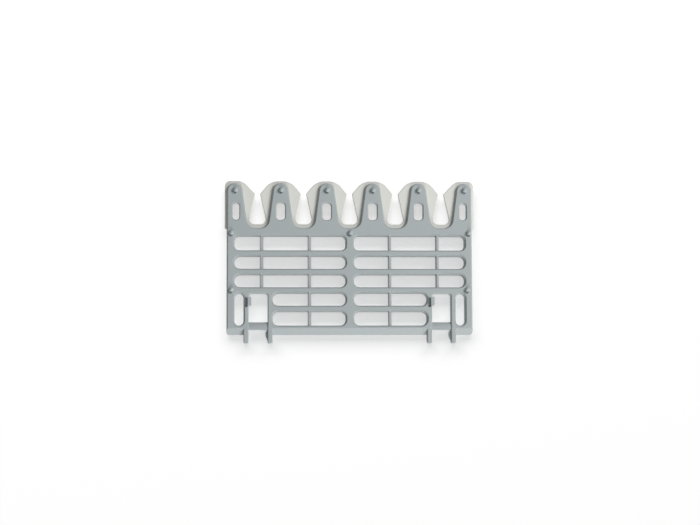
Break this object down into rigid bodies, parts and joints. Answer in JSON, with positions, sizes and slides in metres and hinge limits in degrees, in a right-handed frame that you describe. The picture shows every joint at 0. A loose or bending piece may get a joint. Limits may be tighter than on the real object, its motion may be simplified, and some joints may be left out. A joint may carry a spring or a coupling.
{
  "type": "dishwasher cup rack",
  "caption": "Slotted grey dishwasher cup rack with rounded tines, a soft pale comb of keyhole notches for glass stems, and clip legs along its lower edge.",
  "frame": {"origin": "middle of the plan outline, at the back face that the rack lies on", "axes": "+X along the row of tines, +Y out along the tines and away from the clip legs, +Z out of the face"},
  "size_m": [0.2496, 0.1629, 0.0121],
  "materials": {
    "frame_plastic": "fine satin moulded grey plastic",
    "comb_plastic": "smooth matt pale grey soft plastic"
  },
  "bodies": {
    "root": {"rack_frame": "frame_plastic", "stem_grip": "comb_plastic"}
  },
  "joints": []
}
